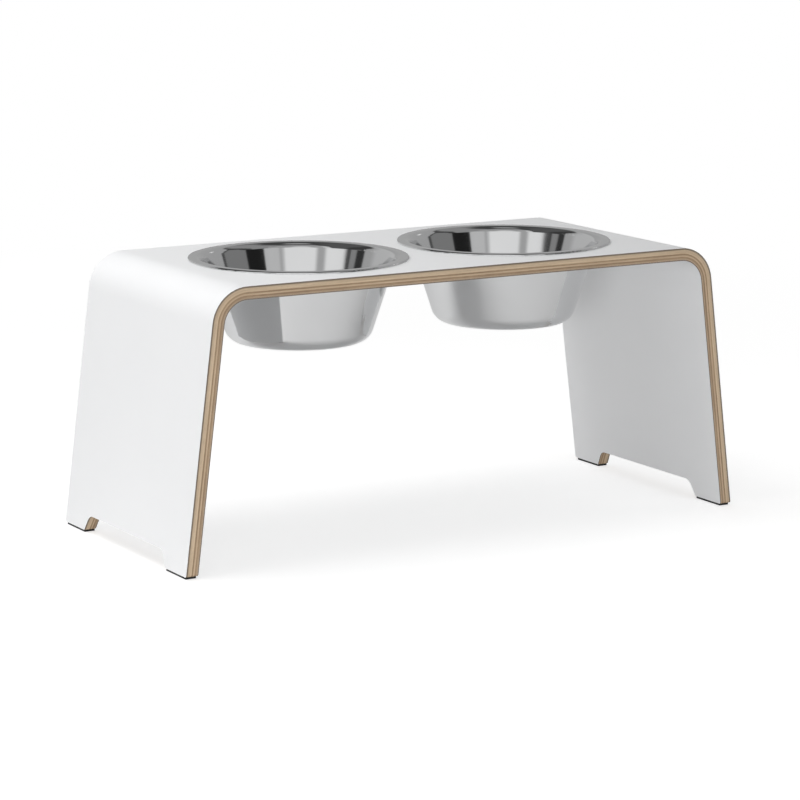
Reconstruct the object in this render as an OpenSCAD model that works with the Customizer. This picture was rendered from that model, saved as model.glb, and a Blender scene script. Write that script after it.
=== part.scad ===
// Raised feeder for a dog: a bench bent from veneers faced with laminate on both sides, on four foot pads,
// with two steel bowls that hang by their rims in round holes and lift out.
// Millimetres. X runs along the length, Y from front (-Y) to back, Z up from the floor.

/* [Board] */
// Depth of the board, front to back
stand_depth = 250; // [240:1:400]
// Height of the top face above the floor
stand_height = 253; // [130:1:500]
// Length of the flat top between the two bends
top_flat_l = 459; // [440:1:700]
// Radius of each bend, on the outer face
bend_r = 34.5; // [22:0.5:60]
// Splay of each leg from upright, in degrees
leg_splay = 7.3; // [0:0.1:15]
// Thickness of one veneer
veneer_t = 1.4; // [1:0.1:2.5]
// Thickness of the laminate on each face
laminate_t = 0.8; // [0.5:0.1:1.5]
// Thickness of the glue between two sheets
glue_line = 0.05; // [0.02:0.01:0.15]

/* [Feet] */
// Width of each foot at the floor, along the depth
foot_w = 41; // [20:1:70]
// Radius of the outer bottom corner of each foot
foot_corner_r = 2; // [1:0.5:10]
// Height of the cut-out between the two feet of a leg
notch_h = 15; // [11:0.5:40]
// Lean of the sides of the cut-out from upright, in degrees
notch_lean = 30; // [5:1:50]
// Radius of the upper corners of the cut-out
notch_r = 10; // [2:0.5:14]
// Thickness of a foot pad
pad_t = 2; // [1:0.5:6]
// Radius of the corners of a foot pad
pad_corner_r = 0.8; // [0.5:0.1:2]
// How far a pad stays back from the faces of the board
pad_face_inset = 0.8; // [0.5:0.1:3.5]
// How far a pad stays back from the ends of the flat under a foot
pad_end_inset = 0.3; // [0.2:0.1:3]

/* [Bowls] */
// Distance between the centres of the two bowls
bowl_pitch = 222; // [214:1:244]
// Outer diameter of a bowl's rim
rim_d = 203; // [198:1:216]
// Height of a rim above the board
rim_h = 2.2; // [1.8:0.1:5]
// Radius where the rim turns down to the board
rim_edge_r = 1.6; // [1.2:0.1:1.7]
// Radius where the rim turns down into the bowl
lip_r = 7.5; // [2:0.1:8]
// Outer diameter of a bowl's straight wall, carried up to the board's top face
neck_d = 179; // [150:1:184]
// Depth of a bowl below the board's top face
bowl_depth = 76.5; // [45:0.5:105]
// Lean of a bowl's wall from upright, in degrees
wall_lean = 18; // [5:0.5:28]
// Radius inside the bottom corner of a bowl
floor_corner_r = 15; // [5:0.5:22]
// Thickness of the steel sheet
steel_t = 0.8; // [0.5:0.1:1]
// Gap between a bowl and the edge of its hole, at the board's top face
hole_gap = 1; // [0.5:0.1:3]

/* [Hidden] */
$fn = 180;

veneers = 7;
white = [0.93, 0.93, 0.93];
pale_wood = [0.78, 0.66, 0.52];
dark_wood = [0.60, 0.46, 0.33];
steel = [0.75, 0.76, 0.77];
black = [0.12, 0.12, 0.12];
half_top = top_flat_l / 2;
bend_z = stand_height - bend_r;
board_t = 2 * laminate_t + veneers * veneer_t + (veneers + 1) * glue_line;
// Straight stretch of a leg, long enough to be cut level at the pads
leg_l = stand_height + bend_r;

// Middle of the board where a leg meets its pads, and the board's width along the floor there
foot_x = half_top + (bend_r - board_t / 2) / cos(leg_splay) + (bend_z - pad_t) * tan(leg_splay);
foot_l = board_t / cos(leg_splay);
pad_w = foot_l - 2 * pad_face_inset;
pad_l = foot_w - foot_corner_r - 2 * pad_end_inset;
pad_y = stand_depth / 2 - foot_corner_r - pad_end_inset - pad_l / 2;

// Height of the centres of the cut-out's upper corners, and half the distance between them
notch_z = pad_t + notch_h - notch_r;
notch_lean_w = (notch_r + (notch_h - notch_r) * sin(notch_lean)) / cos(notch_lean);
notch_half = stand_depth / 2 - foot_w - notch_lean_w;

// Centres of the round at the bottom corner of a bowl and of the round at its lip, above the board
floor_z = steel_t - bowl_depth;
corner_z = floor_z + floor_corner_r;
corner_x = wall_x(0, corner_z) - floor_corner_r / cos(wall_lean);
lip_z = rim_h - lip_r;
lip_x = wall_x(0, lip_z) + lip_r / cos(wall_lean);
wall_top_z = lip_z + lip_r * sin(wall_lean);
// How far the section of the lip is drawn from its centre, past its outer face
lip_reach = 1.5 * lip_r;
under_lip_r = lip_r - steel_t;

// Outer radius of a bowl at the board's top face, on its straight wall or else on the round under its lip
straight_top_z = lip_z + under_lip_r * sin(wall_lean);
neck_r = straight_top_z > 0 ? neck_d / 2 : lip_x - sqrt(under_lip_r ^ 2 - lip_z ^ 2);
hole_r = neck_r + hole_gap;

// How far each round is drawn past the straight faces that run into it, so that the two join
lap = 0.001;

// Radius of a bowl at a height above the board, on a cone that lies d outside the inner face of its wall
function wall_x(d, z) = neck_d / 2 - (steel_t - d) / cos(wall_lean) + z * tan(wall_lean);

// Outline with a flat top, two rounds of radius r about points on the X axis, and sides that lean outward
module arch(flat_l, r, lean, side_l) {
    translate([-flat_l / 2, -side_l]) square([flat_l, side_l + r]);
    for (side = [0, 1])
        mirror([side, 0])
            translate([flat_l / 2, 0]) {
                circle(r + lap);
                rotate(lean) translate([-side_l, -side_l]) square([side_l + r, side_l]);
            }
}

// Front view of everything inside a face of the board that lies at a depth under the outer face
module board_outline(depth) {
    translate([0, bend_z]) arch(top_flat_l, bend_r - depth, leg_splay, leg_l);
}

// Front view of one sheet of the board, cut level at the pads
module sheet_profile(depth, t) {
    difference() {
        intersection() {
            board_outline(depth);
            translate([-top_flat_l, pad_t]) square([2 * top_flat_l, 2 * stand_height]);
        }
        board_outline(depth + t);
    }
}

// Side view of what is cut from the end of a leg: the space between the feet, and their outer corners
module foot_cut_profile() {
    translate([0, notch_z]) arch(2 * notch_half, notch_r, notch_lean, 2 * notch_h);
    for (side = [0, 1])
        mirror([side, 0])
            translate([stand_depth / 2 - foot_corner_r, pad_t - foot_corner_r])
                difference() {
                    square(2 * foot_corner_r);
                    translate([0, 2 * foot_corner_r]) circle(foot_corner_r);
                }
}

// One sheet of the board, bent, cut level at the feet and pierced for the bowls
module board_sheet(depth, t) {
    difference() {
        translate([0, stand_depth / 2, 0])
            rotate([90, 0, 0])
                linear_extrude(stand_depth)
                    sheet_profile(depth, t);
        translate([-top_flat_l, 0, 0])
            rotate([90, 0, 90])
                linear_extrude(2 * top_flat_l)
                    foot_cut_profile();
        for (side = [-1, 1])
            translate([side * bowl_pitch / 2, 0, bend_z])
                cylinder(r = hole_r, h = 2 * bend_r);
    }
}

module outer_laminate() {
    color(white) board_sheet(0, laminate_t);
}

// Veneers count down from the outer face, and their grain crosses from one to the next
module veneer(n) {
    depth = laminate_t + glue_line + (n - 1) * (veneer_t + glue_line);
    color(n % 2 == 1 ? pale_wood : dark_wood) board_sheet(depth, veneer_t);
}

module inner_laminate() {
    color(white) board_sheet(board_t - laminate_t, laminate_t);
}

// Half section of all that lies under a face of the rim, d below its upper face
module rim_outline(d) {
    translate([0, -rim_h]) {
        square([rim_d / 2 - rim_edge_r, 2 * rim_h - d]);
        square([rim_d / 2 - d, 2 * rim_h - rim_edge_r]);
    }
    translate([rim_d / 2 - rim_edge_r, rim_h - rim_edge_r]) circle(rim_edge_r - d + lap);
}

// Half section of all that lies inside a face of the bowl, d outside its inner face, up to a height
module bowl_outline(d, top_z) {
    r = floor_corner_r + d;
    polygon([
        [0, floor_z - d],
        [corner_x, floor_z - d],
        [corner_x + r * cos(wall_lean), corner_z - r * sin(wall_lean)],
        [wall_x(d, top_z), top_z],
        [0, top_z]
    ]);
    translate([corner_x, corner_z]) circle(r + lap);
}

// Half section of the rim, flat above and turned down to the board at its edge
module rim_section() {
    intersection() {
        difference() {
            rim_outline(0);
            rim_outline(steel_t);
        }
        square([rim_d, 2 * rim_h]);
    }
}

// Half section of all that lies inside the outer face of the wall and the round under the lip
module wall_section() {
    difference() {
        union() {
            bowl_outline(steel_t, wall_top_z + steel_t);
            polygon([
                [lip_x, lip_z],
                [lip_x, rim_h - steel_t / 2],
                [lip_x - lip_reach * cos(wall_lean), rim_h - steel_t / 2],
                [lip_x - lip_reach * cos(wall_lean), lip_z + lip_reach * sin(wall_lean)]
            ]);
        }
        translate([lip_x, lip_z]) circle(under_lip_r + lap);
    }
}

// Half section of the steel: the rim, a round lip, a leaning wall and a flat floor
module bowl_profile() {
    difference() {
        union() {
            rim_section();
            wall_section();
        }
        bowl_outline(0, 2 * rim_h);
        difference() {
            translate([0, wall_top_z]) square([lip_x, 2 * lip_r]);
            translate([lip_x, lip_z]) circle(lip_r + lap);
        }
    }
}

// Steel bowl pressed from one sheet, which stands on the board by the turned-down edge of its rim
module bowl(side) {
    color(steel)
        translate([side * bowl_pitch / 2, 0, stand_height])
            rotate_extrude()
                bowl_profile();
}

// Foot pad with rounded corners, under one foot
module pad(x_side, y_side) {
    color(black)
        translate([x_side * foot_x, y_side * pad_y, 0])
            linear_extrude(pad_t) {
                square([pad_w - 2 * pad_corner_r, pad_l], center = true);
                square([pad_w, pad_l - 2 * pad_corner_r], center = true);
                for (u = [-1, 1], v = [-1, 1])
                    translate([u * (pad_w / 2 - pad_corner_r), v * (pad_l / 2 - pad_corner_r)])
                        circle(pad_corner_r);
            }
}

outer_laminate();
veneer(1);  // veneer_1
veneer(2);  // veneer_2
veneer(3);  // veneer_3
veneer(4);  // veneer_4
veneer(5);  // veneer_5
veneer(6);  // veneer_6
veneer(7);  // veneer_7
inner_laminate();
bowl(-1);  // left_bowl
bowl(1);  // right_bowl
pad(-1, -1);  // front_left_pad
pad(1, -1);  // front_right_pad
pad(-1, 1);  // back_left_pad
pad(1, 1);  // back_right_pad
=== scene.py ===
"""Looks of a raised dog feeder: bent laminated bench, two polished bowls, four foot pads. Metres."""
import math
from collections import namedtuple

import bpy
from mathutils import Matrix, Vector


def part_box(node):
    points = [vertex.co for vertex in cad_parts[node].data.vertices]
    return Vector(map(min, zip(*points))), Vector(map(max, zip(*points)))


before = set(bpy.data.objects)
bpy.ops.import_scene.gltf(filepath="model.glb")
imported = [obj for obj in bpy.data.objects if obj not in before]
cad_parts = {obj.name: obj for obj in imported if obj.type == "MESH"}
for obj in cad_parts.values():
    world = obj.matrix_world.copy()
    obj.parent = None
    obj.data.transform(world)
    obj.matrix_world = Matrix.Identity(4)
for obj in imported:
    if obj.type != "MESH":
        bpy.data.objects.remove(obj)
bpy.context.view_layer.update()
scene = bpy.context.scene

# Sizes of the board and the bowls that the materials follow
HALF_TOP = 0.2295
BEND_R = 0.0345
BEND_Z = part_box("outer_laminate")[1].z - BEND_R
SPLAY = math.radians(7.3)
BOWL_X = sum(corner.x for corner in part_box("right_bowl")) / 2
HOLE_R = 0.0917
# How far outside that radius a point still counts as on the edge of a hole
HOLE_MARGIN = 0.0005
# A height between the feet and the holes
BELOW_TOP = 0.2
# Least share of a normal across the board on its front and back edges, and the upright share that parts
# level faces from standing ones
FRONTAL, LEVEL = 0.2, 0.5

WHITE = (1, 1, 1)

# Sockets of Blender's Mix node that carry numbers and colours
FACTOR, NUMBER_A, NUMBER_B, COLOUR_A, COLOUR_B = 0, 2, 3, 6, 7
NUMBER_OUT, COLOUR_OUT = 0, 2


class Tree:
    """Short ways to add nodes to one material or world."""

    def __init__(self, tree):
        self.tree = tree
        tree.nodes.clear()

    def add(self, kind, inputs=(), **settings):
        node = self.tree.nodes.new(kind)
        for key, value in settings.items():
            setattr(node, key, value)
        for key, value in dict(inputs).items():
            self.put(node, key, value)
        return node

    def put(self, node, key, value):
        socket = node.inputs[key]
        if isinstance(value, bpy.types.NodeSocket):
            self.tree.links.new(value, socket)
        elif socket.type == "RGBA":
            socket.default_value = (*value, 1)
        else:
            socket.default_value = value

    def show(self, shader, kind="ShaderNodeOutputMaterial"):
        """Makes a shader what the tree shows."""
        self.put(self.add(kind), "Surface", shader.outputs[0])

    def where(self):
        """Place of a point in its object, which for a CAD node is its place in the frame."""
        return self.add("ShaderNodeTexCoord").outputs["Object"]

    def math(self, operation, *values):
        node = self.add("ShaderNodeMath", operation=operation)
        for i, value in enumerate(values):
            self.put(node, i, value)
        return node.outputs[0]

    def scale(self, value, factor):
        return self.math("MULTIPLY", value, factor)

    def distance(self, a, b):
        squares = self.math("ADD", self.math("MULTIPLY", a, a), self.math("MULTIPLY", b, b))
        return self.math("SQRT", squares)

    def mix_number(self, factor, a, b):
        node = self.add("ShaderNodeMix", data_type="FLOAT")
        for socket, value in ((FACTOR, factor), (NUMBER_A, a), (NUMBER_B, b)):
            self.put(node, socket, value)
        return node.outputs[NUMBER_OUT]

    def mix_colour(self, factor, a, b):
        node = self.add("ShaderNodeMix", data_type="RGBA")
        for socket, value in ((FACTOR, factor), (COLOUR_A, a), (COLOUR_B, b)):
            self.put(node, socket, value)
        return node.outputs[COLOUR_OUT]

    def mix_shader(self, factor, a, b):
        return self.add("ShaderNodeMixShader", {0: factor, 1: a.outputs[0], 2: b.outputs[0]})

    def glow(self, strength):
        return self.add("ShaderNodeEmission", {"Color": WHITE, "Strength": strength})

    def map_range(self, value, old, new, **settings):
        node = self.add("ShaderNodeMapRange", clamp=True, **settings)
        keys = ("Value", "From Min", "From Max", "To Min", "To Max")
        for key, entry in zip(keys, (value, *old, *new)):
            self.put(node, key, entry)
        return node.outputs["Result"]

    def ramp(self, value, low, high):
        """0 below low, 1 above high, smooth between."""
        return self.map_range(value, (low, high), (0.0, 1.0), interpolation_type="SMOOTHSTEP")

    def spread(self, value, low, high):
        """Maps 0..1 onto low..high."""
        return self.map_range(value, (0.0, 1.0), (low, high))

    def noise(self, vector, scale=1.0, detail=2.0, roughness=0.5):
        node = self.add("ShaderNodeTexNoise", {"Vector": vector, "Scale": scale, "Detail": detail,
                                               "Roughness": roughness})
        return node.outputs["Fac"]

    def vector(self, x, y, z):
        return self.add("ShaderNodeCombineXYZ", {"X": x, "Y": y, "Z": z}).outputs[0]

    def parts(self, vector):
        return self.add("ShaderNodeSeparateXYZ", {"Vector": vector}).outputs

    def bump(self, height, strength, distance):
        node = self.add("ShaderNodeBump", {"Height": height, "Strength": strength, "Distance": distance})
        return node.outputs["Normal"]


def material(name):
    """A new material and its empty tree."""
    mat = bpy.data.materials.new(name)
    mat.use_nodes = True
    return mat, Tree(mat.node_tree)


def principled(name):
    """A new material, its tree and its Principled shader."""
    mat, t = material(name)
    shader = t.add("ShaderNodeBsdfPrincipled")
    t.show(shader)
    return mat, t, shader


def board_path(t, where):
    """(way along the bent board, depth under its outer face) of a place in the frame."""
    x, _, z = t.parts(where)
    across = t.math("ABSOLUTE", x)
    dx = t.math("MAXIMUM", t.math("SUBTRACT", across, HALF_TOP), 0.0)
    dz = t.math("SUBTRACT", z, BEND_Z)
    out = t.math("ADD", t.scale(dx, math.cos(SPLAY)), t.scale(dz, math.sin(SPLAY)))
    up = t.math("SUBTRACT", t.scale(dz, math.cos(SPLAY)), t.scale(dx, math.sin(SPLAY)))
    radius = t.distance(out, t.math("MAXIMUM", up, 0.0))
    turn = t.math("MINIMUM", t.math("ARCTAN2", dx, dz), math.pi / 2 - SPLAY)
    flat = t.math("MINIMUM", across, HALF_TOP)
    leg = t.math("MAXIMUM", t.scale(up, -1.0), 0.0)
    along = t.math("ADD", t.math("ADD", flat, t.scale(turn, BEND_R)), leg)
    along = t.math("MULTIPLY", along, t.math("SIGN", x))
    return along, t.math("SUBTRACT", BEND_R, radius)


def cut_edge(t, where):
    """1 on the cut edges of a sheet of the board, 0 on its two faces."""
    normal = t.add("ShaderNodeNewGeometry").outputs["True Normal"]
    _, ny, nz = t.parts(normal)
    x, y, z = t.parts(where)
    front = t.math("GREATER_THAN", t.math("ABSOLUTE", ny), FRONTAL)
    foot = t.math("MULTIPLY", t.math("LESS_THAN", nz, -LEVEL), t.math("LESS_THAN", z, BELOW_TOP))
    reach = t.distance(t.math("SUBTRACT", t.math("ABSOLUTE", x), BOWL_X), y)
    inside = t.math("MULTIPLY", t.math("LESS_THAN", reach, HOLE_R + HOLE_MARGIN),
                    t.math("GREATER_THAN", z, BELOW_TOP))
    hole = t.math("MULTIPLY", t.math("LESS_THAN", t.math("ABSOLUTE", nz), LEVEL), inside)
    return t.math("MAXIMUM", t.math("MAXIMUM", front, foot), hole)


# Two tones of the laminate's faces, and of its core at the outer and at the inner face of the board
FACE = ((0.845, 0.85, 0.858), (0.875, 0.88, 0.886))
OUTER_CORE = ((0.15, 0.12, 0.092), (0.24, 0.19, 0.145))
INNER_CORE = ((0.16, 0.13, 0.10), (0.25, 0.20, 0.155))
FACE_ROUGHNESS = (0.36, 0.46)
CORE_ROUGHNESS = 0.7


def laminate(name, core_tones):
    """White pressed laminate with a faint orange-peel skin, and a darker core on its cut edges."""
    mat, t, shader = principled(name)
    where = t.where()
    edge = cut_edge(t, where)
    face = t.mix_colour(t.noise(where, scale=9.0, detail=3.0), *FACE)
    core = t.mix_colour(t.noise(where, scale=600.0, detail=3.0), *core_tones)
    t.put(shader, "Base Color", t.mix_colour(edge, face, core))
    gloss = t.spread(t.noise(where, scale=60.0, detail=4.0), *FACE_ROUGHNESS)
    t.put(shader, "Roughness", t.math("MAXIMUM", gloss, t.scale(edge, CORE_ROUGHNESS)))
    peel = t.noise(where, scale=1400.0)
    t.put(shader, "Normal", t.bump(peel, strength=0.06, distance=0.0002))
    return mat


# Dark and light tone of each kind of veneer, and the kinds from the outer face inward
PALE = ((0.57, 0.425, 0.28), (0.76, 0.60, 0.425))
WARM = ((0.52, 0.39, 0.26), (0.69, 0.54, 0.38))
FAINT = ((0.50, 0.365, 0.24), (0.68, 0.52, 0.36))
DULL = ((0.39, 0.285, 0.195), (0.55, 0.41, 0.285))
BROWN = ((0.29, 0.195, 0.12), (0.49, 0.345, 0.215))
DARK = ((0.27, 0.18, 0.11), (0.46, 0.32, 0.20))
PLIES = (WARM, WARM, PALE, BROWN, FAINT, DARK, DULL)
# Depths between which the outer laminate's brown resin fades out of the wood
RESIN_DEPTH = (0.0011, 0.0020)
RESIN = (0.24, 0.19, 0.14)
# Scales of the grain's noise along the board, across its width and through its depth
LONG_STREAKS = (34.0, 40.0, 2600.0)
SHORT_STREAKS = (160.0, 40.0, 2600.0)
SLOW_CHANGES = (14.0, 14.0, 300.0)
PORES = (420.0, 420.0, 5200.0)
# Share of the streaks in the colour, for long and for short ones
LONG_SHARE, SHORT_SHARE = 0.7, 0.55
# Steps along the noise from one veneer to the next, so that no two have the same grain
STREAK_SHIFT, SLOW_SHIFT = 7.31, 3.7
GRAIN_STEP = (0.34, 0.66)
PORE_STEP = (0.62, 0.74)
PORE_TONE, PORE_SHARE, PORE_SINK = 0.55, 0.45, 0.5
WOOD_ROUGHNESS = (0.5, 0.7)


def grain_noise(t, way, scales, shift=0.0, detail=2.0, roughness=0.5):
    """Noise over the way along the board, its width and its depth, each with a scale of its own."""
    along, y, depth = (t.scale(value, scale) for value, scale in zip(way, scales))
    return t.noise(t.vector(t.math("ADD", along, shift), y, depth), detail=detail, roughness=roughness)


def veneer(number, tones):
    """Cut edge of one veneer: streaks that follow the board, pores, slow changes of colour, and resin."""
    mat, t, shader = principled("veneer_%d_wood" % number)
    where = t.where()
    along, depth = board_path(t, where)
    _, y, _ = t.parts(where)
    way = (along, y, depth)
    crossed = number % 2 == 0
    streaks, share = (SHORT_STREAKS, SHORT_SHARE) if crossed else (LONG_STREAKS, LONG_SHARE)
    lines = grain_noise(t, way, streaks, shift=STREAK_SHIFT * number, detail=4.0, roughness=0.6)
    slow = grain_noise(t, way, SLOW_CHANGES, shift=SLOW_SHIFT * number)
    pore = t.ramp(grain_noise(t, way, PORES), *PORE_STEP)
    grain = t.ramp(t.math("ADD", t.scale(lines, share), t.scale(slow, 1.0 - share)), *GRAIN_STEP)
    pore_colour = [PORE_TONE * c for c in tones[0]]
    wood = t.mix_colour(t.scale(pore, PORE_SHARE), t.mix_colour(grain, *tones), pore_colour)
    t.put(shader, "Base Color", t.mix_colour(t.ramp(depth, *RESIN_DEPTH), RESIN, wood))
    t.put(shader, "Roughness", t.spread(lines, *WOOD_ROUGHNESS))
    height = t.math("SUBTRACT", lines, t.scale(pore, PORE_SINK))
    t.put(shader, "Normal", t.bump(height, strength=0.25, distance=0.0002))
    return mat


STEEL = ((0.72, 0.725, 0.73), (0.78, 0.785, 0.79))
STEEL_ROUGHNESS = (0.045, 0.115)
# Turning lines: how close they lie, how often they change round the bowl, and their share of the roughness
TURNED, TURNED_ROUND, TURNED_SHARE = 5200.0, 1.5, 0.6


def steel(name, centre_x):
    """Polished pressed steel with faint turning lines round the bowl and slight wipe marks."""
    mat, t, shader = principled(name)
    where = t.where()
    x, y, z = t.parts(where)
    dx = t.math("SUBTRACT", x, centre_x)
    turned = t.noise(t.vector(t.scale(t.distance(dx, y), TURNED), t.scale(z, TURNED),
                              t.scale(t.math("ARCTAN2", y, dx), TURNED_ROUND)), detail=3.0)
    wiped = t.noise(where, scale=22.0, detail=3.0)
    t.put(shader, "Base Color", t.mix_colour(wiped, *STEEL))
    t.put(shader, "Metallic", 1.0)
    marks = t.math("ADD", t.scale(turned, TURNED_SHARE), t.scale(wiped, 1.0 - TURNED_SHARE))
    t.put(shader, "Roughness", t.spread(marks, *STEEL_ROUGHNESS))
    t.put(shader, "Normal", t.bump(turned, strength=0.03, distance=0.00005))
    return mat


RUBBER, DUSTY = (0.016, 0.016, 0.017), (0.050, 0.048, 0.046)
DUST_STEP = (0.5, 0.8)
RUBBER_ROUGHNESS = (0.7, 0.9)


def rubber():
    """Matt black rubber with a fine moulded grain and some dust."""
    mat, t, shader = principled("pad_rubber")
    where = t.where()
    grain = t.noise(where, scale=1800.0, detail=3.0)
    dust = t.ramp(t.noise(where, scale=160.0, detail=4.0), *DUST_STEP)
    t.put(shader, "Base Color", t.mix_colour(dust, RUBBER, DUSTY))
    t.put(shader, "Roughness", t.spread(grain, *RUBBER_ROUGHNESS))
    t.put(shader, "Normal", t.bump(grain, strength=0.4, distance=0.0002))
    return mat


def dress(node, mat):
    """Gives a CAD node its material."""
    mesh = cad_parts[node].data
    mesh.materials.clear()
    mesh.materials.append(mat)


dress("outer_laminate", laminate("outer_laminate_face", OUTER_CORE))
dress("inner_laminate", laminate("inner_laminate_face", INNER_CORE))
for number, tones in enumerate(PLIES, 1):
    dress("veneer_%d" % number, veneer(number, tones))
dress("left_bowl", steel("left_bowl_steel", -BOWL_X))
dress("right_bowl", steel("right_bowl_steel", BOWL_X))
pad_rubber = rubber()
for pad in ("front_left_pad", "front_right_pad", "back_left_pad", "back_right_pad"):
    dress(pad, pad_rubber)

# Floor: half its width, its height just under the pads, and where it fades into the white background
FLOOR, FLOOR_Z = 12.0, -0.0002
FLOOR_FADE = (0.6, 1.8)
# Its colour, and that in mirrors; its glow to the camera; and the glow of its far part in mirrors
FLOOR_PAPER, MIRRORED_PAPER = (0.65, 0.65, 0.65), (0.92, 0.92, 0.92)
FLOOR_GLOW, FAR_MIRRORED = 0.58, 0.74
# Light of the world on the object
AMBIENT = 0.44


def seen_ray(t, by_camera, by_mirror):
    """by_camera for rays from the camera, by_mirror for those off glossy or clear surfaces, or else 0."""
    path = t.add("ShaderNodeLightPath").outputs
    mirrored = t.math("MAXIMUM", path["Is Glossy Ray"], path["Is Transmission Ray"])
    return t.math("MAXIMUM", t.scale(path["Is Camera Ray"], by_camera), t.scale(mirrored, by_mirror))


def floor_material():
    """Pale floor that keeps a soft shadow, runs into the white background and is clear from below."""
    mat, t = material("floor_white")
    pale = t.mix_colour(seen_ray(t, 0.0, 1.0), FLOOR_PAPER, MIRRORED_PAPER)
    paper = t.add("ShaderNodeBsdfDiffuse", {"Color": pale})
    glow = t.glow(seen_ray(t, FLOOR_GLOW, 0.0))
    near = t.add("ShaderNodeAddShader", {0: paper.outputs[0], 1: glow.outputs[0]})
    far = t.glow(seen_ray(t, 1.0, FAR_MIRRORED))
    x, y, _ = t.parts(t.where())
    both = t.mix_shader(t.ramp(t.distance(x, y), *FLOOR_FADE), near, far)
    backfacing = t.add("ShaderNodeNewGeometry").outputs["Backfacing"]
    from_below = t.math("MULTIPLY", backfacing, seen_ray(t, 1.0, 0.0))
    t.show(t.mix_shader(from_below, both, t.add("ShaderNodeBsdfTransparent")))
    return mat


def lay_floor():
    """One flat square under the object."""
    corners = [(x * FLOOR, y * FLOOR, FLOOR_Z) for x, y in ((-1, -1), (1, -1), (1, 1), (-1, 1))]
    mesh = bpy.data.meshes.new("floor")
    mesh.from_pydata(corners, [], [range(len(corners))])
    mesh.materials.append(floor_material())
    obj = bpy.data.objects.new("floor", mesh)
    scene.collection.objects.link(obj)


def light_world():
    """White to the camera and in mirrors, and an even grey light on the object."""
    world = bpy.data.worlds.new("studio")
    scene.world = world
    world.use_nodes = True
    t = Tree(world.node_tree)
    strength = t.math("MAXIMUM", seen_ray(t, 1.0, 1.0), AMBIENT)
    sky = t.add("ShaderNodeBackground", {"Color": WHITE, "Strength": strength})
    t.show(sky, "ShaderNodeOutputWorld")


lay_floor()
light_world()

# Soft lamps: where they stand, the point they face, their width and height, and their watts
Softbox = namedtuple("Softbox", "name place aim size power")
MIDDLE = (0, 0, 0.12)
SOFTBOXES = (
    Softbox("key", place=(-0.45, 0.1, 1.1), aim=(-0.15, 0, 0.2), size=(0.7, 0.7), power=5.7),
    Softbox("front_fill", place=(-2.25, -3.0, 0.39), aim=MIDDLE, size=(1.8, 0.9), power=58.0),
    Softbox("left_fill", place=(-1.6, -0.1, 0.2), aim=MIDDLE, size=(0.6, 0.4), power=2.8),
    Softbox("right_fill", place=(2.0, 0.3, 0.2), aim=(0.29, 0, 0.12), size=(0.8, 0.3), power=7.0),
    Softbox("front_right_fill", place=(1.6, -2.2, 0.25), aim=(0.2, 0, 0.12), size=(0.8, 0.4), power=3.0),
    Softbox("back_fill", place=(0.3, 2.2, 0.2), aim=(0, 0.1, 0.12), size=(0.8, 0.3), power=5.0),
)


def hang(box):
    """Adds a soft lamp, which neither the camera nor the steel shows."""
    lamp = bpy.data.lights.new(box.name, "AREA")
    lamp.shape = "RECTANGLE"
    lamp.size, lamp.size_y = box.size
    lamp.energy = box.power
    obj = bpy.data.objects.new(box.name, lamp)
    scene.collection.objects.link(obj)
    obj.location = box.place
    obj.rotation_euler = (Vector(box.aim) - Vector(box.place)).to_track_quat("-Z", "Y").to_euler()
    obj.visible_camera = False
    obj.visible_glossy = False


for box in SOFTBOXES:
    hang(box)

# Camera where the photograph was taken from: its place and the way it faces, in radians
CAMERA = (-1.465075, -2.476598, 0.668025)
YAW, PITCH, ROLL = 0.533291, -0.191582, 0.001427
# Its focal length and the photograph's width, in pixels, and its sensor's width in millimetres
FOCAL_PX, IMAGE_PX, SENSOR = 3114.416, 800.0, 36.0

# Studio dome round the object, which only the steel and other glossy surfaces show. It is light overhead,
# with panels that stand on the horizon, each from a first to a last bearing and up to an elevation, in
# degrees. Bearings count from the way back to the camera, and are positive on the camera's left. A higher
# power squares a panel's corners, and a later panel covers the earlier ones.
DOME_R, DOME_Z, DOME_LIGHT = 5.0, 0.25, 0.45
DOME_SEGMENTS, DOME_RINGS = 96, 48
# first bearing, last bearing, top, power, softness of the edge, light
PANELS = (
    (-400, 400, 82, 20, 0.03, 0.065),  # dark all round
    (-170, -10, 68, 4, 0.06, 0.29),  # tall and dim, on the right
    (45, 165, 75, 4, 0.08, 0.10),  # tall and dark, on the left
    (-40, 45, 66, 4, 0.08, 0.39),  # tall and grey, towards the camera
    (62, 165, 50, 3, 0.06, 0.05),  # darker, on the left
    (66, 100, 29, 3, 0.06, 0.26),  # low and grey, on the left
    (68, 116, 25, 2, 0.04, 0.035),  # black, over most of it
    (33, 45, 52, 4, 0.10, 0.65),  # light strip, left of the camera
    (-15, 22, 46, 3, 0.15, 0.75),  # soft white, towards the camera
    (88, 192, 41, 3, 0.03, 0.40),  # grey, far left
    (104, 190, 38, 2.5, 0.15, 0.53),  # lighter, over most of it
    (-53, 76, 36, 2, 0.03, 0.86),  # wide and white, towards the camera
    (-22, 24, 37, 6, 0.03, 0.86),  # squarer top for it
    (23, 35, 60, 3, 0.50, 0.42),  # soft grey strip on it
    (-56, -22, 38, 6, 0.03, 0.57),  # light grey, over its right end
    (-26, -19, 32, 3, 0.60, 0.36),  # soft darker line between the two
    (-192, -48, 46, 2.5, 0.05, 0.065),  # dark, on the right
    (-86, -42.5, 30.5, 4, 0.02, 0.015),  # black, on the right
    (-156, -68, 36, 3, 0.02, 0.22),  # dark grey, on the right
    (-118, -107, 38, 4, 0.30, 0.08),  # soft dark line on it
    (-200, -112, 42, 6, 0.03, 0.40),  # grey, far right
    (-153, -141, 29, 4, 0.05, 1.05),  # bright spot on it
    (-156, -138, 25, 4, 0.05, 0.40),  # grey that leaves only the spot's top
    (63.5, 67.5, 28, 4, 0.20, 0.08),  # thin dark line near the white's left end
)


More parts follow.
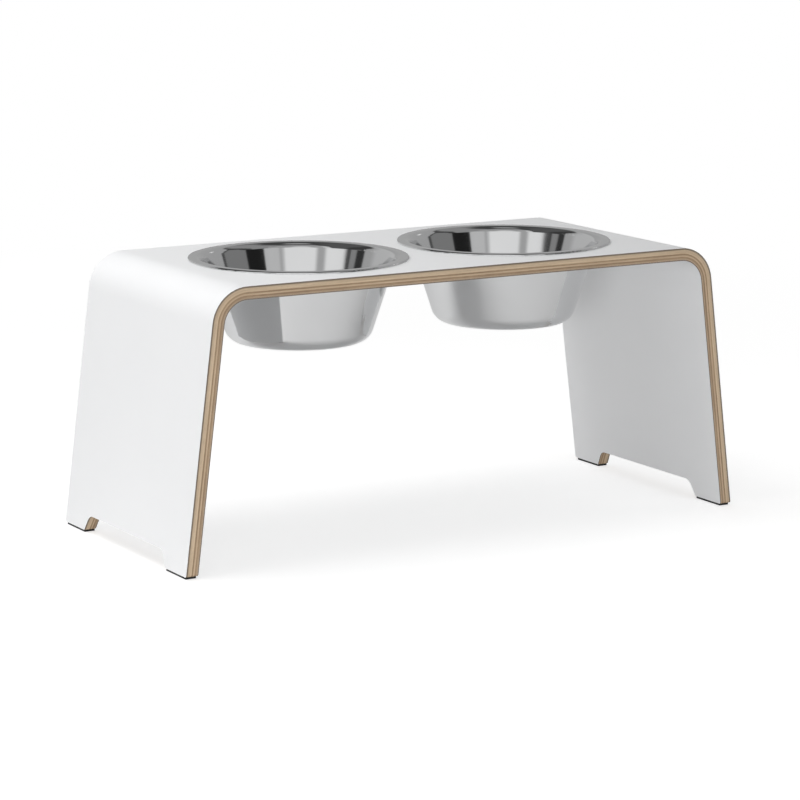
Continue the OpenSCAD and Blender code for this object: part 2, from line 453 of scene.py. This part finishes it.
def dome_material():
    """Panels of even light, painted over each other by bearing and elevation."""
    mat, t = material("dome_panels")
    x, y, z = t.parts(t.where())
    bearing = t.math("SUBTRACT", t.math("ARCTAN2", t.scale(x, -1.0), t.scale(y, -1.0)), YAW)
    elevation = t.math("ABSOLUTE", t.math("ARCSINE", t.math("DIVIDE", z, DOME_R)))
    light = DOME_LIGHT
    for first, last, top, power, soft, level in PANELS:
        middle, half = math.radians(first + last) / 2, math.radians(last - first) / 2
        turn = t.math("WRAP", t.math("SUBTRACT", bearing, middle), math.pi, -math.pi)
        aside = t.math("DIVIDE", t.math("ABSOLUTE", turn), half)
        rise = t.math("DIVIDE", elevation, math.radians(top))
        powers = t.math("ADD", t.math("POWER", aside, power), t.math("POWER", rise, power))
        outside = t.ramp(t.math("POWER", powers, 1.0 / power), 1.0 - soft, 1.0 + soft)
        light = t.mix_number(outside, level, light)
    t.show(t.glow(light))
    return mat


def add_dome():
    """A sphere about the top of the object, which only glossy surfaces show."""
    bpy.ops.mesh.primitive_uv_sphere_add(segments=DOME_SEGMENTS, ring_count=DOME_RINGS, radius=DOME_R,
                                         location=(0, 0, DOME_Z))
    obj = bpy.context.object
    obj.name = "dome"
    obj.data.materials.append(dome_material())
    obj.visible_camera = False
    obj.visible_diffuse = False
    obj.visible_shadow = False
    obj.visible_transmission = False
    obj.visible_volume_scatter = False


def add_camera():
    """The camera, turned by its yaw, pitch and roll."""
    forward = Vector((math.sin(YAW) * math.cos(PITCH), math.cos(YAW) * math.cos(PITCH), math.sin(PITCH)))
    level = Vector((math.cos(YAW), -math.sin(YAW), 0.0))
    upright = level.cross(forward)
    right = math.cos(ROLL) * level + math.sin(ROLL) * upright
    up = math.cos(ROLL) * upright - math.sin(ROLL) * level
    lens = bpy.data.cameras.new("camera")
    lens.sensor_fit = "HORIZONTAL"
    lens.sensor_width = SENSOR
    lens.lens = FOCAL_PX / IMAGE_PX * SENSOR
    camera = bpy.data.objects.new("camera", lens)
    scene.collection.objects.link(camera)
    turned = Matrix((right, up, -forward)).transposed().to_4x4()
    camera.matrix_world = Matrix.Translation(CAMERA) @ turned
    scene.camera = camera


add_dome()
add_camera()
scene.view_settings.view_transform = "Standard"
